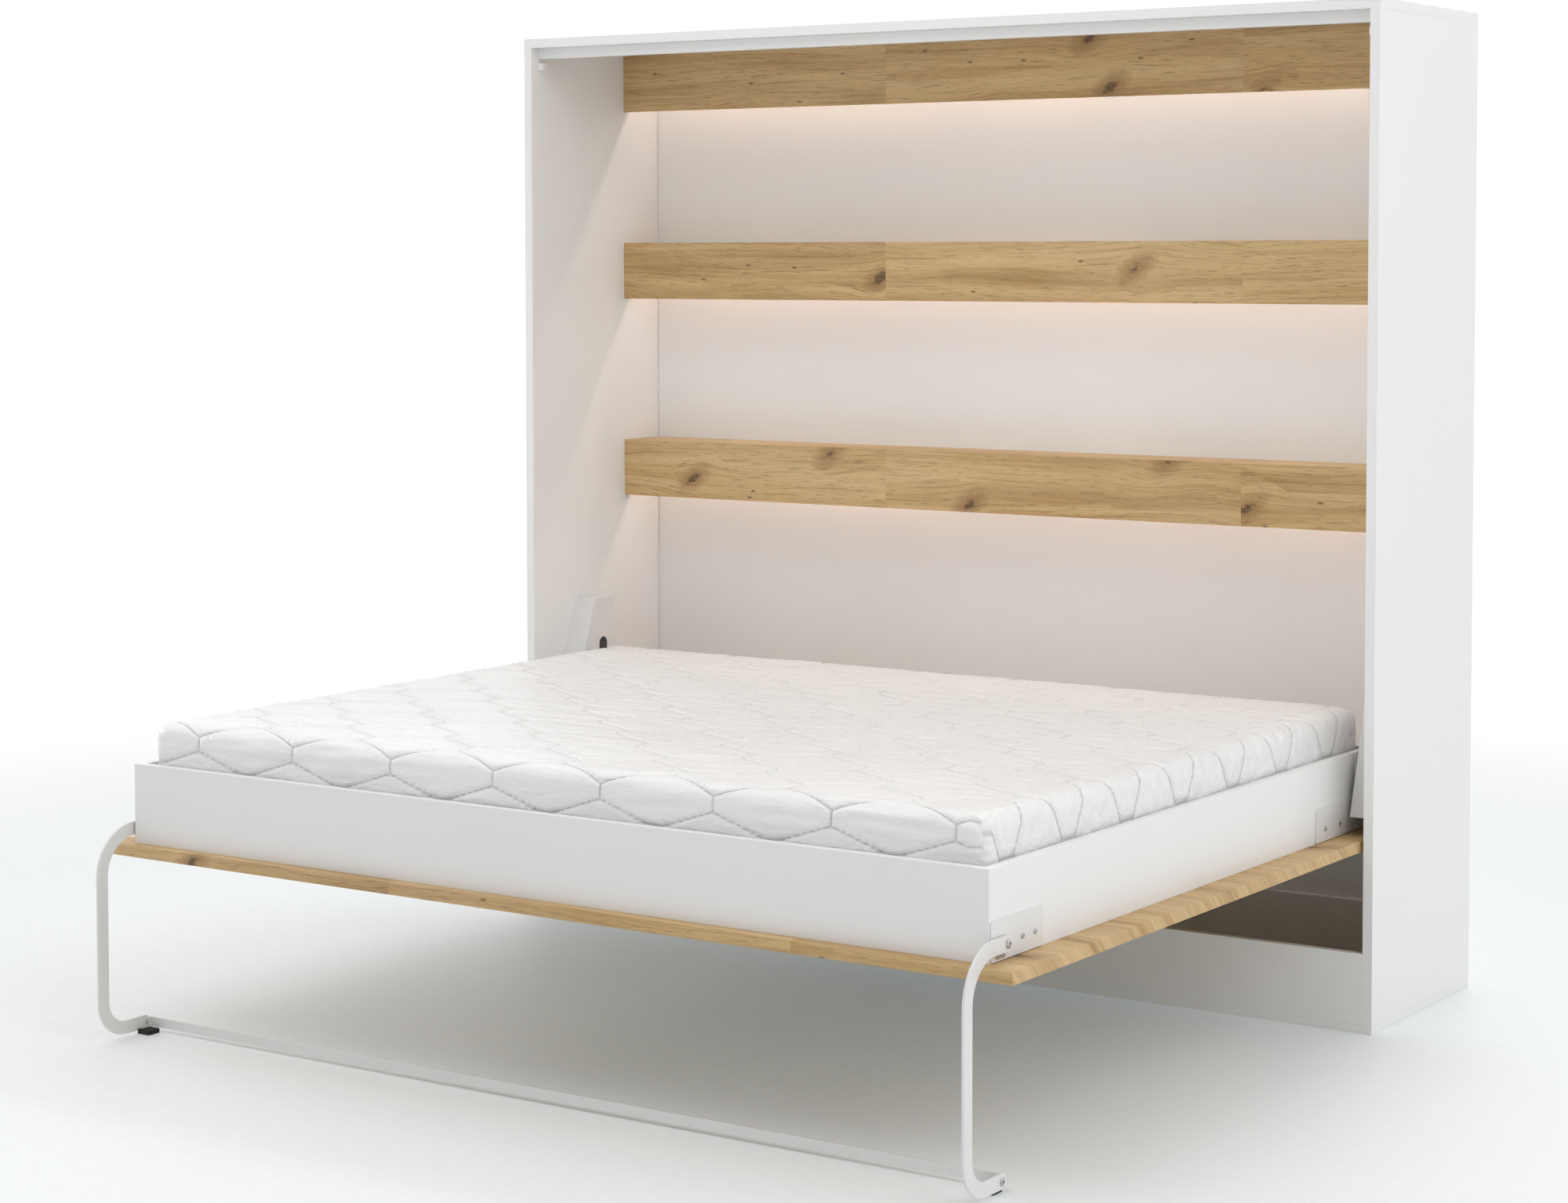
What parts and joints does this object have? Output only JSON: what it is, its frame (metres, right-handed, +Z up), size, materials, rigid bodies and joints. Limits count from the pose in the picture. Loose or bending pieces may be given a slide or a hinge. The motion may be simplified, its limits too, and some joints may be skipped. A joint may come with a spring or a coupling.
{
  "type": "murphy wall bed",
  "caption": "Wall bed that folds up sideways into a tall shallow cabinet, with a quilted mattress, gas-spring hinges, lit oak beams and a fold-down leg.",
  "frame": {"origin": "centre of the cabinet's footprint, on the floor", "axes": "+X along the cabinet, +Y towards the wall behind it, +Z up; the open bed reaches out along -Y"},
  "size_m": [2.23, 2.0486, 2.144],
  "materials": {
    "white_board": "matt white laminated board",
    "oak_board": "light knotty oak decor, matt",
    "slat_wood": "laminated beech, satin",
    "white_steel": "white powder coat",
    "plated_steel": "zinc plated",
    "black_rubber": "matt",
    "white_plastic": "moulded",
    "light_aluminium": "anodised",
    "diffuser_plastic": "opal, lit from behind",
    "bush_plastic": "plain bearing plastic",
    "mattress_fabric": "quilted knit cover",
    "gas_tube": "light grey enamel",
    "gas_rod": "ground and hard chromed"
  },
  "bodies": {
    "cabinet": {"left_side_panel": "white_board", "right_side_panel": "white_board", "top_board": "white_board", "base_board": "white_board", "back_panel": "white_board", "front_skirt": "white_board", "rear_lower_rail": "white_board", "top_stop_rail": "white_board", "upper_beam_front": "oak_board", "upper_beam_shelf": "oak_board", "middle_beam_front": "oak_board", "middle_beam_shelf": "oak_board", "lower_beam_front": "oak_board", "lower_beam_shelf": "oak_board", "wall_angles": "plated_steel", "light_channels": "light_aluminium", "light_diffusers": "diffuser_plastic", "light_driver": "white_plastic", "bumper_blocks": "white_plastic", "left_mechanism_cover": "white_steel", "right_mechanism_cover": "white_steel", "left_hinge_bracket": "white_steel", "right_hinge_bracket": "white_steel", "bracket_screws": "plated_steel", "pivot_bushes": "bush_plastic", "spring_clips": "plated_steel"},
    "left_gas_cylinder": {"left_gas_cylinder": "gas_tube"},
    "right_gas_cylinder": {"right_gas_cylinder": "gas_tube"},
    "left_gas_rod": {"left_gas_rod": "gas_rod"},
    "right_gas_rod": {"right_gas_rod": "gas_rod"},
    "bed": {"front_panel": "oak_board", "footboard": "white_board", "head_rail": "white_board", "left_side_rail": "white_board", "right_side_rail": "white_board", "centre_beam": "slat_wood", "slat_ledges": "slat_wood", "foot_slats": "slat_wood", "head_slats": "slat_wood", "slat_rests": "black_rubber", "mattress": "mattress_fabric", "left_hinge_plate": "white_steel", "right_hinge_plate": "white_steel", "left_pivot_shaft": "plated_steel", "right_pivot_shaft": "plated_steel", "left_crank": "plated_steel", "right_crank": "plated_steel", "hinge_plate_bolts": "plated_steel", "left_leg_bracket": "white_steel", "right_leg_bracket": "white_steel", "leg_bracket_bolts": "plated_steel", "leg_stop_bolts": "plated_steel", "leg_pivot_bolts": "plated_steel", "leg_spacers": "plated_steel"},
    "leg": {"left_leg_bar": "white_steel", "right_leg_bar": "white_steel", "leg_crossbar": "white_steel", "crossbar_bolts": "plated_steel", "leg_pads": "black_rubber"}
  },
  "joints": [
    {"name": "bed_fold", "type": "hinge", "parent": "cabinet", "child": "bed", "pos_m": [0, -0.1166, 0.5267], "axis": [-1, 0, 0], "range_deg": [0, 87.5]},
    {"name": "leg_fold", "type": "hinge", "parent": "bed", "child": "leg", "pos_m": [0, -1.6346, 0.432], "axis": [-1, 0, 0], "range_deg": [0, 195]},
    {"name": "left_gas_swing", "type": "hinge", "parent": "cabinet", "child": "left_gas_cylinder", "pos_m": [-1.065, -0.0866, 0.7487], "axis": [-1, 0, 0], "range_deg": [0, 3.5]},
    {"name": "left_gas_slide", "type": "slide", "parent": "left_gas_cylinder", "child": "left_gas_rod", "axis": [0, 0.1104, -0.9939], "range_m": [0, 0.09]},
    {"name": "right_gas_swing", "type": "hinge", "parent": "cabinet", "child": "right_gas_cylinder", "pos_m": [1.065, -0.0866, 0.7487], "axis": [-1, 0, 0], "range_deg": [0, 3.5]},
    {"name": "right_gas_slide", "type": "slide", "parent": "right_gas_cylinder", "child": "right_gas_rod", "axis": [0, 0.1104, -0.9939], "range_m": [0, 0.09]}
  ],
  "couplings": [
    {"joint": "left_gas_swing", "follows": "bed_fold", "ratio": 0.03821},
    {"joint": "left_gas_slide", "follows": "bed_fold", "m_per_rad": 0.058529},
    {"joint": "right_gas_swing", "follows": "bed_fold", "ratio": 0.03821},
    {"joint": "right_gas_slide", "follows": "bed_fold", "m_per_rad": 0.058529}
  ]
}
